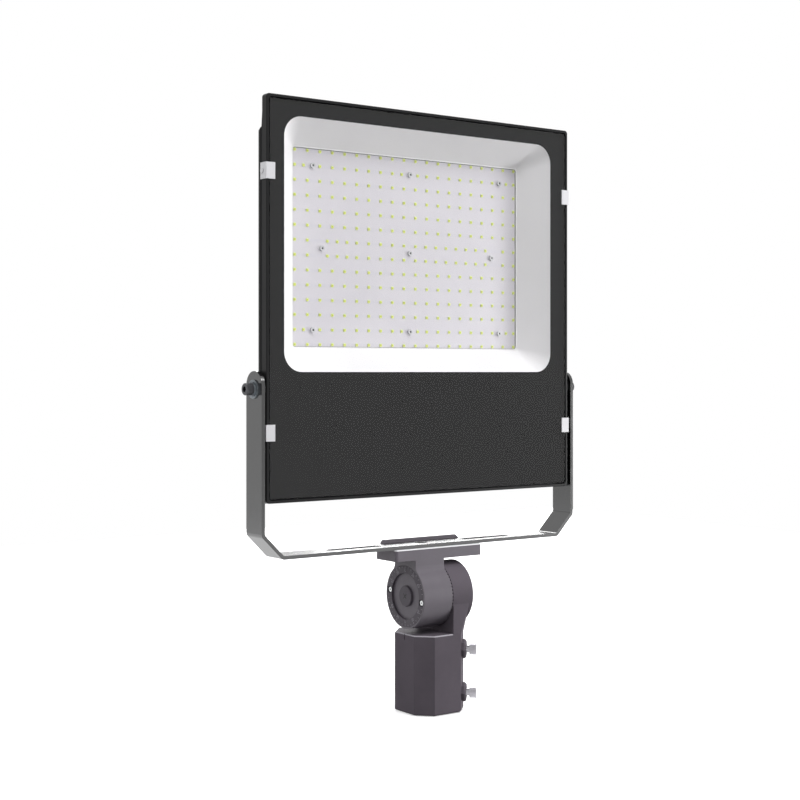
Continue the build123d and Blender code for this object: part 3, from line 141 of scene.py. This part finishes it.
class Shader(Nodes):
    """A node material in the row's own coordinates, in metres."""

    def __init__(self, name):
        self.material = bpy.data.materials.new(name)
        self.material.use_nodes = True
        super().__init__(self.material.node_tree)
        self.output = self.node("ShaderNodeOutputMaterial")
        self.place = self.node("ShaderNodeTexCoord").outputs["Object"]

    def moved(self, location=(0, 0, 0), scale=(1, 1, 1)):
        made = self.node("ShaderNodeMapping")
        made.inputs["Location"].default_value = location
        made.inputs["Scale"].default_value = scale
        self.link(self.place, made.inputs["Vector"])
        return made.outputs[0]

    def noise(self, scale, detail=3.0, roughness=0.55, vector=None):
        made = self.node("ShaderNodeTexNoise")
        made.inputs["Scale"].default_value = scale
        made.inputs["Detail"].default_value = detail
        made.inputs["Roughness"].default_value = roughness
        self.link(vector or self.place, made.inputs["Vector"])
        return made.outputs["Fac"]

    def cells(self, scale):
        made = self.node("ShaderNodeTexVoronoi")
        made.inputs["Scale"].default_value = scale
        self.link(self.place, made.inputs["Vector"])
        return made.outputs["Distance"]

    def band(self, value, low, high):
        """1 where value lies between low and high, with a sharp step at each."""
        return self.math(
            "MULTIPLY",
            self.smooth(value, low, low + paint_step),
            self.smooth(value, high, high + paint_step, 1, 0),
        )

    def length(self, first, second):
        """The length of a vector in a plane."""
        first_square = self.math("MULTIPLY", first, first)
        second_square = self.math("MULTIPLY", second, second)
        return self.math("SQRT", self.math("ADD", first_square, second_square))

    def normal(self, heights, edge=0.0):
        """Bumps stacked on a rounded-edge normal: heights are (factor, strength, distance)."""
        source = None
        if edge:
            made = self.node("ShaderNodeBevel", samples=4)
            made.inputs["Radius"].default_value = edge
            source = made.outputs["Normal"]
        for factor, strength, distance in heights:
            made = self.node("ShaderNodeBump")
            made.inputs["Strength"].default_value = strength
            made.inputs["Distance"].default_value = distance
            self.link(factor, made.inputs["Height"])
            if source is not None:
                self.link(source, made.inputs["Normal"])
            source = made.outputs["Normal"]
        return source

    def surface(self, color, rough, normal=None, **values):
        made = self.node("ShaderNodeBsdfPrincipled")
        if isinstance(color, tuple):
            made.inputs["Base Color"].default_value = (*color, 1)
        else:
            self.link(color, made.inputs["Base Color"])
        if isinstance(rough, (int, float)):
            made.inputs["Roughness"].default_value = rough
        else:
            self.link(rough, made.inputs["Roughness"])
        if normal is not None:
            self.link(normal, made.inputs["Normal"])
        for key, value in values.items():
            made.inputs[key.replace("_", " ")].default_value = value
        self.link(made.outputs[0], self.output.inputs["Surface"])
        return self.material


def linear(code):
    """A hex colour as linear numbers."""
    values = [int(code[i : i + 2], 16) / 255 for i in (1, 3, 5)]
    return tuple(v / 12.92 if v <= 0.04045 else ((v + 0.055) / 1.055) ** 2.4 for v in values)


def shade(color, share):
    """A colour scaled by a share."""
    return tuple(min(1.0, v * share) for v in color)


def solids_of(node):
    """The boxes (low, high) of a node's separate solids, from its connected vertices."""
    mesh = nodes[node].data
    parent = list(range(len(mesh.vertices)))

    def root(i):
        while parent[i] != i:
            parent[i] = parent[parent[i]]
            i = parent[i]
        return i

    seen = {}
    for vertex in mesh.vertices:
        key = tuple(round(c, 5) for c in vertex.co)
        if key in seen:
            parent[root(vertex.index)] = root(seen[key])
        else:
            seen[key] = vertex.index
    for edge in mesh.edges:
        parent[root(edge.vertices[0])] = root(edge.vertices[1])
    groups = {}
    for vertex in mesh.vertices:
        groups.setdefault(root(vertex.index), []).append(vertex.co)
    return [
        (
            Vector([min(p[i] for p in points) for i in range(3)]),
            Vector([max(p[i] for p in points) for i in range(3)]),
        )
        for points in groups.values()
    ]


# Materials
def powder_coat(
    name, color, rough=0.42, grain=1500.0, depth=0.00006, edge=0.0006, specular=0.5, coat=0.0
):
    """Baked powder: fine orange peel, slow colour drift and lightly rubbed edges."""
    s = Shader(name)
    slow = s.noise(14.0, 4.0)
    fine = s.noise(grain, 2.0)
    peel = s.noise(grain / 3.2, 2.0)
    tone = s.ramp(slow, [(0.3, shade(color, 0.92)), (0.7, shade(color, 1.08))])
    sheen = s.spread(s.noise(60.0, 3.0), rough - 0.05, rough + 0.06)
    bump = s.normal([(peel, 0.35, depth), (fine, 0.25, depth * 0.5)], edge)
    return s.surface(
        tone, sheen, bump, Specular_IOR_Level=specular, Coat_Weight=coat, Coat_Roughness=0.12
    )


def cast_paint(name, color, rough=0.5, highlight_band=None, pocket_shade=(), specular=0.3, edge_highlight=None):
    """Painted die casting, with fine pits. A band in Z (low, high) is painted pale as a highlight,
    each screw pocket, (y, z, radius), is painted dark inside as shade, and sloping edges in a band
    in Z get a painted pale highlight.
    """
    s = Shader(name)
    slow = s.noise(22.0, 5.0, 0.6)
    fine = s.noise(900.0, 3.0, 0.6)
    pits = s.smooth(s.cells(650.0), 0.0, 0.22)
    tone = s.ramp(slow, [(0.28, shade(color, 0.9)), (0.72, shade(color, 1.1))])
    sheen = s.spread(s.noise(90.0, 3.0), rough - 0.07, rough + 0.08)
    bump = s.normal([(pits, 0.12, 0.00012), (fine, 0.4, 0.00012)], 0.0009)
    if highlight_band:
        # Painted highlight: the band is painted near white where light catches the top edge.
        band = s.band(s.separate(s.place)[2], *highlight_band)
        tone = s.blend(band, tone, linear("#e6e6e8"))
    if edge_highlight:
        # Painted highlight: sloping faces in the band are painted pale where light catches the
        # rounded edge.
        slope = s.separate(s.node("ShaderNodeNewGeometry").outputs["Normal"])[2]
        band = s.band(s.separate(s.place)[2], *edge_highlight)
        sloping = s.math("MULTIPLY", s.smooth(slope, 0.5, 0.6), s.smooth(slope, 0.8, 0.9, 1, 0))
        tone = s.blend(s.math("MULTIPLY", band, sloping), tone, linear("#a5a2a8"))
    for pocket_y, pocket_z, radius in pocket_shade:
        # Painted shade: inside each screw pocket the tone is painted near black.
        x, y, z = s.separate(s.moved(location=(0, -pocket_y, -pocket_z)))
        inside = s.smooth(s.length(y, z), radius - paint_step, radius + paint_step, 1, 0)
        tone = s.blend(inside, tone, linear("#100f12"))
    return s.surface(tone, sheen, bump, Specular_IOR_Level=specular)


def plated(name, color, rough=0.3, metallic=1.0, scratch=420.0):
    """Zinc or oxide on steel: faint turned lines, clouds and a soft edge."""
    s = Shader(name)
    cloud = s.noise(180.0, 4.0)
    lines = s.noise(scratch, 2.0, vector=s.moved(scale=(1.0, 9.0, 9.0)))
    tone = s.ramp(cloud, [(0.25, shade(color, 0.8)), (0.75, shade(color, 1.12))])
    sheen = s.spread(lines, rough - 0.08, rough + 0.12)
    bump = s.normal([(lines, 0.15, 0.00004)], 0.0004)
    return s.surface(tone, sheen, bump, Metallic=metallic)


def moulded(name, color, rough=0.45, grain=900.0, specular=0.5):
    """Moulded plastic or rubber with a light spark-eroded texture."""
    s = Shader(name)
    tone = s.ramp(s.noise(30.0, 3.0), [(0.3, shade(color, 0.93)), (0.7, shade(color, 1.07))])
    sheen = s.spread(s.noise(120.0, 2.0), rough - 0.05, rough + 0.07)
    bump = s.normal([(s.noise(grain, 2.0), 0.3, 0.00006)], 0.0004)
    return s.surface(tone, sheen, bump, Specular_IOR_Level=specular)


knurl_teeth = 44.0


def knurled(name, color, origin, turn, rough, metallic, end=None):
    """A bolt head with straight knurling round the Z axis of a frame at origin, turned by turn. Its
    end, where one is given, is a bright ring that far from the origin.
    """
    s = Shader(name)
    local = s.node("ShaderNodeMapping", vector_type="TEXTURE")
    local.inputs["Location"].default_value = origin
    local.inputs["Rotation"].default_value = turn
    s.link(s.place, local.inputs["Vector"])
    x, y, z = s.separate(local.outputs[0])
    angle = s.math("ARCTAN2", y, x)
    ridge = s.math("SINE", s.math("MULTIPLY", angle, knurl_teeth))
    outside = s.smooth(s.length(x, y), 0.0061, 0.0064)
    tooth = s.math("MULTIPLY", ridge, outside)
    tone = s.ramp(s.noise(220.0, 3.0), [(0.25, shade(color, 0.8)), (0.75, shade(color, 1.12))])
    worn = s.blend(s.smooth(tooth, 0.2, 1.0), tone, shade(color, 1.6))
    if end:
        at_end = s.smooth(s.math("ABSOLUTE", z), end - 0.0013, end - 0.0009)
        worn = s.blend(at_end, worn, linear("#f4f4f5"))
    bump = s.normal([(tooth, 0.9, 0.00025)], 0.0003)
    sheen = s.spread(s.noise(300.0), rough - 0.08, rough + 0.1)
    return s.surface(worn, sheen, bump, Metallic=metallic)


def print_black():
    """Ceramic print behind the glass: an even, very dark field without any gloss of its own."""
    s = Shader("fired_print")
    tone = s.ramp(s.noise(35.0, 3.0), [(0.3, linear("#141415")), (0.7, linear("#171718"))])
    return s.surface(tone, 0.6, Specular_IOR_Level=0.0)


def clear_glass():
    """A toughened sheet: clear with a faint tint, and gloss on its outer faces only."""
    s = Shader("toughened_glass")
    clear = s.node("ShaderNodeBsdfTransparent")
    s.link(
        s.ramp(s.noise(3.0, 1.0), [(0.2, (0.984, 0.984, 0.982)), (0.8, (0.99, 0.99, 0.989))]),
        clear.inputs["Color"],
    )
    gloss = s.node("ShaderNodeBsdfGlossy")
    gloss.inputs["Roughness"].default_value = 0.03
    ripple = s.normal([(s.noise(5.0, 1.0), 0.02, 0.0004)])
    s.link(ripple, gloss.inputs["Normal"])
    fresnel = s.node("ShaderNodeFresnel")
    fresnel.inputs["IOR"].default_value = 1.5
    outer = s.math("SUBTRACT", 1.0, s.node("ShaderNodeNewGeometry").outputs["Backfacing"])
    share = s.math("MULTIPLY", fresnel.outputs[0], outer)
    mix = s.node("ShaderNodeMixShader")
    s.link(share, mix.inputs["Fac"])
    s.link(clear.outputs[0], mix.inputs[1])
    s.link(gloss.outputs[0], mix.inputs[2])
    s.link(mix.outputs[0], s.output.inputs["Surface"])
    return s.material


def reflector_white():
    """White enamel on sheet metal, with a slow drift in its tone."""
    s = Shader("reflector_enamel")
    tone = s.ramp(s.noise(9.0, 3.0), [(0.3, linear("#eeedef")), (0.7, linear("#f4f3f5"))])
    sheen = s.spread(s.noise(50.0, 2.0), 0.32, 0.42)
    return s.surface(tone, sheen, s.normal([(s.noise(700.0, 2.0), 0.15, 0.00004)], 0.0006))


def board_white():
    """White solder mask: copper tracks under it stand a hair proud and show slightly darker."""
    s = Shader("solder_mask")
    x, y, z = s.separate(s.place)
    column_step = s.math("MULTIPLY", s.math("SUBTRACT", x, board_mid.x), math.pi / led_pitch)
    row_step = s.math("MULTIPLY", s.math("SUBTRACT", z, board_mid.z), math.pi / led_pitch)
    column = s.math("ABSOLUTE", s.math("SINE", column_step))
    row = s.math("ABSOLUTE", s.math("SINE", row_step))
    across_track = s.smooth(row, 0.9, 0.97)
    along_gap = s.smooth(column, 0.05, 0.12)
    track = s.math("MULTIPLY", across_track, along_gap)
    tone = s.ramp(s.noise(12.0, 3.0), [(0.3, linear("#d2cfd6")), (0.7, linear("#d8d5db"))])
    color = s.blend(s.math("MULTIPLY", track, 0.25), tone, linear("#c9c8d4"))
    bump = s.normal([(track, 0.3, 0.00005), (s.noise(1200.0), 0.08, 0.00003)])
    return s.surface(color, s.spread(s.noise(80.0), 0.36, 0.46), bump)


def phosphor(name, color):
    """Phosphor in silicone: grainy and slightly translucent looking."""
    s = Shader(name)
    tone = s.ramp(s.noise(1600.0, 2.0), [(0.3, shade(color, 0.88)), (0.7, shade(color, 1.1))])
    return s.surface(tone, 0.35, s.normal([(s.noise(2200.0), 0.2, 0.00004)]))


plate_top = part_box("yoke")[0].z
highlight_depth = 0.0011  # pale band under the plate's top: a painted highlight on its top edge
head_black = powder_coat("head_powder", linear("#161617"), rough=0.38, edge=0.0004, specular=0.14)
yoke_grey = powder_coat(
    "yoke_powder",
    linear("#0e0e0f"),
    rough=0.17,
    grain=1100.0,
    depth=0.00001,
    edge=0.00008,
    specular=0.95,
    coat=0.2,
)
socket_to_knuckle = 0.0055
socket_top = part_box("knuckle_bracket")[0].z - socket_to_knuckle
# The socket's top edge gets a painted highlight in a band this deep.
edge_highlight_depth = 0.0014
socket_grey = cast_paint(
    "socket_casting",
    linear("#5d575e"),
    rough=0.62,
    specular=0.03,
    edge_highlight=(socket_top - edge_highlight_depth, socket_top + paint_step),
)
# The top edge of the plate gets a painted highlight: a pale band in Z.
bracket_grey = cast_paint(
    "bracket_casting",
    linear("#5f5a61"),
    rough=0.42,
    highlight_band=(plate_top - highlight_depth, plate_top + paint_step),
)
scale_screw_places = [(low + high) / 2 for low, high in solids_of("scale_screws")]
scale_pocket_radius = 0.0038
# The scale's screw pockets are painted dark as their shade.
scale_grey = cast_paint(
    "scale_casting",
    linear("#48434a"),
    rough=0.55,
    pocket_shade=[(p.y, p.z, scale_pocket_radius) for p in scale_screw_places],
)
zinc = plated("zinc_steel", linear("#c6c9cb"), 0.3)
zinc_dull = plated("zinc_dull", linear("#7a7f83"), 0.36)
oxide = moulded("black_oxide", linear("#161617"), 0.75, 700.0, specular=0.1)
clip_paint = powder_coat("clip_enamel", linear("#d2d1d4"), rough=0.35, grain=1700.0, depth=0.00003)
# Dark slots on screw heads: painted shade in place of the recesses.
recess_shade = moulded("screw_recess_shade", linear("#232326"), 0.6)
# Dark cross on the cap: painted shade in its crossed slots.
slot_shade = moulded("cap_slot_shade", linear("#151417"), 0.6)
# The scale's ticks and numbers are painted pale: a painted highlight on the raised cast marks.
marks_highlight = moulded("scale_marks_lit", linear("#8d8890"), 0.55)
screw_bright = plated("bright_zinc", linear("#eceeee"), 0.4, metallic=0.55)
screw_pale = plated("pale_zinc", linear("#c9c9cc"), 0.45, metallic=0.3)
silicone = moulded("grey_silicone", linear("#57585a"), 0.6, 500.0)
nylon_black = moulded("black_nylon", linear("#242426"), 0.42)
nylon_white = moulded("white_nylon", linear("#e4e3de"), 0.4)
spacer_black = moulded("spacer_nylon", linear("#202022"), 0.5)
# The insulating film is dark grey: a painted shadow for the gap under the reflector's lip.
film_shadow = moulded("insulating_film", linear("#4a4a4e"), 0.55)
case_anodised = plated("driver_anodised", linear("#b6b8ba"), 0.38, metallic=0.85, scratch=260.0)
surge_blue = moulded("surge_case", linear("#2b4a78"), 0.35)
lead_red = moulded("lead_red", linear("#a8322b"), 0.45, 300.0)

finishes = {
    "pole_socket": socket_grey,
    "knuckle_bracket": bracket_grey,
    "angle_scale": scale_grey,
    "bolt_cap": scale_grey,
    "scale_screws": screw_bright,
    "knuckle_bolt": zinc_dull,
    "knuckle_nut": zinc_dull,
    "knuckle_washers": zinc,
    "yoke": yoke_grey,
    "yoke_screw": oxide,
    "rear_housing": head_black,
    "heat_sink": head_black,
    "heat_sink_screws": zinc,
    "front_glass": clear_glass(),
    "glass_print": print_black(),
    "glass_gasket": silicone,
    "reflector": reflector_white(),
    "reflector_insulator": film_shadow,
    "led_board": board_white(),
    "led_packages": phosphor("led_frames", linear("#e2e8a0")),
    "board_screws": screw_pale,
    "led_driver": case_anodised,
    "driver_screws": zinc,
    "terminal_block": nylon_white,
    "input_leads": lead_red,
    "board_leads": lead_red,
    "surge_protector": surge_blue,
    "cover_gasket": silicone,
    "driver_cover": head_black,
    "cover_screws": zinc,
    "gland_body": nylon_black,
    "gland_locknut": nylon_black,
    "gland_nut": nylon_black,
    "gland_seal": silicone,
    "vent_valve": nylon_black,
    "pivot_spacers": spacer_black,
    "pivot_washers": zinc_dull,
    "spring_washers": zinc_dull,
    "glass_clips": clip_paint,
    "clip_screws": clip_paint,
}

pivot_low, pivot_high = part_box("pivot_bolts")
pivot_z = (pivot_low.z + pivot_high.z) / 2
finishes["pivot_bolts"] = knurled(
    "pivot_knurl", linear("#4a4a4d"), (0, 0, pivot_z), (0, math.pi / 2, 0), 0.3, 0.6
)
bolt_end_radius = 0.0057  # of a clamp bolt's head, at its bevelled end
for name in ("clamp_bolt_upper", "clamp_bolt_lower"):
    low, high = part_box(name)
    finishes[name] = knurled(
        name + "_knurl",
        linear("#aaa8ad"),
        (0, 0, (low.z + high.z) / 2),
        (math.pi / 2, 0, math.pi / 4),
        0.34,
        0.9,
        end=high.x * math.sqrt(2) - bolt_end_radius,
    )

for name, material in finishes.items():
    slots = nodes[name].material_slots
    for index in range(len(slots)):
        slots[index].material = material


# Mesh helpers
def mesh_object(name, build, material, body):
    """A mesh piece made by a bmesh function, riding on a body."""
    mesh = bpy.data.meshes.new(name)
    bm = bmesh.new()
    build(bm)
    bm.normal_update()
    bm.to_mesh(mesh)
    bm.free()
    made = bpy.data.objects.new(name, mesh)
    bpy.context.scene.collection.objects.link(made)
    mesh.materials.append(material)
    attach(made, body)


box_faces = ((0, 1, 3, 2), (4, 6, 7, 5), (0, 4, 5, 1), (2, 3, 7, 6), (0, 2, 6, 4), (1, 5, 7, 3))


def add_box(bm, low, high):
    """A box between two corners."""
    corners = [
        bm.verts.new((x, y, z))
        for x in (low[0], high[0])
        for y in (low[1], high[1])
        for z in (low[2], high[2])
    ]
    for face in box_faces:
        bm.faces.new([corners[i] for i in face])


def add_bar(bm, centre, right, up, half):
    """A box round a centre, with its sides along right, up and their cross product."""
    out = right.cross(up)
    corners = [
        bm.verts.new(centre + right * half[0] * a + up * half[1] * b + out * half[2] * c)
        for a in (-1, 1)
        for b in (-1, 1)
        for c in (-1, 1)
    ]
    for face in box_faces:
        bm.faces.new([corners[i] for i in face])


# LED windows
led_centres = [(low + high) / 2 for low, high in solids_of("led_packages")]
led_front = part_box("led_packages")[0].y
plate_sink = 0.0002  # how far a window's plate reaches into its package
dam_radius = 0.0023
dam_rise = 0.00004
dam_sides = 16


def led_plates(half, rise):
    """A thin square plate on each package."""

    def build(bm):
        for centre in led_centres:
            add_box(
                bm,
                (centre.x - half, led_front - rise, centre.z - half),
                (centre.x + half, led_front + plate_sink, centre.z + half),
            )

    return build


def led_dams(bm):
    """A pale round dam of clear silicone on the board round each package."""
    for centre in led_centres:
        ring = [
            bm.verts.new(
                (
                    centre.x + dam_radius * math.cos(math.tau * i / dam_sides),
                    board_low.y - dam_rise,
                    centre.z + dam_radius * math.sin(math.tau * i / dam_sides),
                )
            )
            for i in range(dam_sides)
        ]
        bm.faces.new(ring)


for name, build, finish, color in (
    ("led_dams", led_dams, "led_dam", "#dfe0c4"),
    ("led_windows", led_plates(0.00125, 0.00003), "led_phosphor", "#dbe86c"),
    ("led_chips", led_plates(0.00045, 0.00005), "led_chip", "#b4c24a"),
):
    mesh_object(name, build, phosphor(finish, linear(color)), "lamp_head")

# Screw recesses, as painted shade
recess_rise = 0.00004  # half of a slot's thickness: this much stands on the head


def cross_recess(node, outward, length, width, body):
    """Crossed slots in the head of every screw of a node, as dark bars: painted shade."""
    places = []
    for low, high in solids_of(node):
        reach = max(abs((high - low)[i] / 2 * outward[i]) for i in range(3))
        places.append((low + high) / 2 + outward * reach)

    def build(bm):
        up = Vector((0, 0, 1))
        side = up.cross(outward).normalized()
        for place in places:
            for right, over in ((side + up, up - side), (up - side, side + up)):
                half = (length / 2, width / 2, recess_rise)
                add_bar(bm, place, right.normalized(), over.normalized(), half)

    mesh_object(node + "_recess", build, recess_shade, body)


forward, backward, leftward = Vector((0, -1, 0)), Vector((0, 1, 0)), Vector((-1, 0, 0))
cross_recess("board_screws", forward, 0.0027, 0.0011, "lamp_head")
cross_recess("heat_sink_screws", backward, 0.0034, 0.0009, "lamp_head")
cross_recess("cover_screws", backward, 0.0046, 0.0011, "lamp_head")
cross_recess("scale_screws", leftward, 0.0022, 0.0006, "yoke_frame")

# Angle scale
scale_low, scale_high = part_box("angle_scale")
cap_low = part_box("bolt_cap")[0]
knuckle_z = (scale_low.z + scale_high.z) / 2
scale_outer = (scale_high.z - scale_low.z) / 2
scale_middle = Vector((scale_low.x, 0, knuckle_z))
scale_axis = Vector((1, 0, 0))
tick_margin = 0.0006
tick_half_width = 0.00028
mark_rise = 0.00008
number_height = 0.0048
number_inset = 0.0056
screw_angles = [
    math.degrees(math.atan2(-place.y, place.z - knuckle_z)) % 360 for place in scale_screw_places
]


def near_screw(angle, reach):
    """Whether an angle of the scale comes within reach of one of its screws."""
    return any(abs((angle - screw + 180) % 360 - 180) < reach for screw in screw_angles)


def radial(angle):
    """The outward direction at an angle of the scale, clockwise from the top as it is read."""
    turn = math.radians(angle)
    return Vector((0, -math.sin(turn), math.cos(turn)))


def scale_ticks(bm):
    """A short line every 10 degrees and a longer one every 30, left out at the screws."""
    for angle in range(0, 360, 10):
        if near_screw(angle, 9):
            continue
        length = 0.0028 if angle % 30 == 0 else 0.0019
        out = radial(angle)
        centre = scale_middle + out * (scale_outer - tick_margin - length / 2)
        half = (length / 2, tick_half_width, mark_rise)
        add_bar(bm, centre, out, scale_axis.cross(out), half)


# Pale ticks: a painted highlight on the raised marks.
mesh_object("scale_ticks", scale_ticks, marks_highlight, "yoke_frame")

# Pale numbers: a painted highlight on the raised figures.
for angle in range(0, 360, 30):
    if near_screw(angle, 14):
        continue
    from_bottom = abs(180 - angle)
    name = f"scale_number_{angle}"
    text = bpy.data.curves.new(name, "FONT")
    text.body = str(from_bottom if from_bottom <= 90 else 180 - from_bottom)
    text.size = number_height
    text.extrude = mark_rise
    text.align_x = "CENTER"
    text.align_y = "CENTER"
    text.materials.append(marks_highlight)
    number = bpy.data.objects.new(name, text)
    bpy.context.scene.collection.objects.link(number)
    up = radial(angle) if angle < 90 or angle > 270 else -radial(angle)
    right = up.cross(leftward)
    place = scale_middle + radial(angle) * (scale_outer - number_inset)
    turned = Matrix((right, up, leftward)).transposed().to_4x4()
    number.matrix_world = Matrix.Translation(place) @ turned
    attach(number, "yoke_frame")


cap_mark_sink = 0.00008
cap_mark_half = (0.0039, 0.00056, 0.00005)


def cap_mark(bm):
    """Dark bars in the crossed slots of the cap: painted shade."""
    centre = Vector((cap_low.x + cap_mark_sink, 0, knuckle_z))
    for angle in (45, 135):
        out = radial(angle)
        add_bar(bm, centre, out, scale_axis.cross(out), cap_mark_half)


mesh_object("cap_mark", cap_mark, slot_shade, "yoke_frame")

# Light, floor and camera
scene = bpy.context.scene
scene.view_settings.view_transform = "Standard"

# The camera, the gloss and the glass see a plain white world. What lights the rest is softer: its
# level goes by heading, in degrees from -Y towards +X, under a grey ceiling and over a dark ground
world_brightest = 1.5
world_headings = [
    (-180, 1.15),
    (-105, 1.15),
    (-80, 0.75),
    (-58, 0.28),
    (-25, 0.16),
    (10, 0.12),
    (31, 0.1),
    (33.5, 0.16),
    (37.5, 0.55),
    (40.5, 0.95),
    (42, 1.35),
    (46, 1.5),
    (75, 1.1),
    (130, 1.1),
    (150, 0.84),
    (180, 1.1),
]
ceiling_color = (0.52, 0.525, 0.535)
ground_color = (0.12, 0.12, 0.12)

world = bpy.data.worlds.new("studio")
scene.world = world
world.use_nodes = True
sky = Nodes(world.node_tree)
aim = sky.separate(sky.node("ShaderNodeTexCoord").outputs["Generated"])
heading = sky.math("ARCTAN2", aim[0], sky.math("MULTIPLY", aim[1], -1.0))
around = sky.ramp(
    sky.math("DIVIDE", sky.math("ADD", heading, math.pi), 2 * math.pi),
    [((degrees + 180) / 360, (level / world_brightest,) * 3) for degrees, level in world_headings],
)
with_ceiling = sky.blend(sky.smooth(aim[2], 0.3, 0.75), around, ceiling_color)
soft = sky.node("ShaderNodeBackground")
soft.inputs["Strength"].default_value = world_brightest
with_ground = sky.blend(sky.smooth(aim[2], -0.12, -0.35), with_ceiling, ground_color)
sky.link(with_ground, soft.inputs["Color"])
white = sky.node("ShaderNodeBackground")
white.inputs["Color"].default_value = (1, 1, 1, 1)
white.inputs["Strength"].default_value = 1.0
pick = sky.node("ShaderNodeMixShader")
sky.link(sky.in_sight(), pick.inputs["Fac"])
sky.link(soft.outputs[0], pick.inputs[1])
sky.link(white.outputs[0], pick.inputs[2])
sky.link(pick.outputs[0], sky.node("ShaderNodeOutputWorld").inputs["Surface"])


def lamp(name, place, target, size, power):
    """A square soft lamp aimed at a point."""
    data = bpy.data.lights.new(name, "AREA")
    data.shape = "SQUARE"
    data.size = size
    data.energy = power
    made = bpy.data.objects.new(name, data)
    scene.collection.objects.link(made)
    made.location = place
    made.rotation_euler = (Vector(target) - Vector(place)).to_track_quat("-Z", "Y").to_euler()


lamp("key", (0.75, -1.7, 2.6), (0, 0, 0.35), 1.1, 41)
lamp("low_fill", (2.4, -1.4, 0.3), (0, 0, 0.35), 0.7, 38)
lamp("front_left", (-0.9, -2.4, 1.8), (0, 0, 0.5), 1.0, 10)
lamp("side", (-2.2, 0.3, 1.2), (0, 0, 0.35), 1.2, 6)
lamp("sweep", (1.7, 1.86, 1.25), (0, 0, 0.2), 1.2, 46)

# The floor is pale in sight, and darker to the light that it throws back on the part
floor_half = 1.8
floor_z = -0.001
floor_lift = 0.45
floor_paint = Shader("pale_floor")
paint = floor_paint.node("ShaderNodeBsdfDiffuse")
floor_tone = floor_paint.ramp(
    floor_paint.noise(2.0, 3.0), [(0.3, (0.86, 0.86, 0.86)), (0.7, (0.88, 0.88, 0.88))]
)
floor_in_sight = floor_paint.in_sight()
seen_tone = floor_paint.blend(floor_in_sight, (0.2, 0.2, 0.2), floor_tone)
floor_paint.link(seen_tone, paint.inputs["Color"])
lift = floor_paint.node("ShaderNodeEmission")
lift.inputs["Color"].default_value = (1, 1, 1, 1)
floor_paint.link(floor_paint.math("MULTIPLY", floor_in_sight, floor_lift), lift.inputs["Strength"])
total = floor_paint.node("ShaderNodeAddShader")
floor_paint.link(paint.outputs[0], total.inputs[0])
floor_paint.link(lift.outputs[0], total.inputs[1])
floor_paint.link(total.outputs[0], floor_paint.output.inputs["Surface"])

floor_mesh = bpy.data.meshes.new("floor")
corner_signs = ((-1, -1), (1, -1), (1, 1), (-1, 1))
floor_corners = [(floor_half * x, floor_half * y, floor_z) for x, y in corner_signs]
floor_mesh.from_pydata(floor_corners, [], [(0, 1, 2, 3)])
floor = bpy.data.objects.new("floor", floor_mesh)
scene.collection.objects.link(floor)
floor_mesh.materials.append(floor_paint.material)
floor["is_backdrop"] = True

# The camera is level, and its shift stands in for a tilt
camera_heading = math.atan2(0.585, 0.811)
camera_data = bpy.data.cameras.new("camera")
camera_data.sensor_width = 36.0
camera_data.lens = 66.465
camera_data.shift_y = -0.035
camera_data.clip_end = 100.0
camera = bpy.data.objects.new("camera", camera_data)
scene.collection.objects.link(camera)
camera.location = (-1.012, -1.346, 0.3835)
camera.rotation_euler = (math.pi / 2, 0, -camera_heading)
scene.camera = camera

low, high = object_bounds()
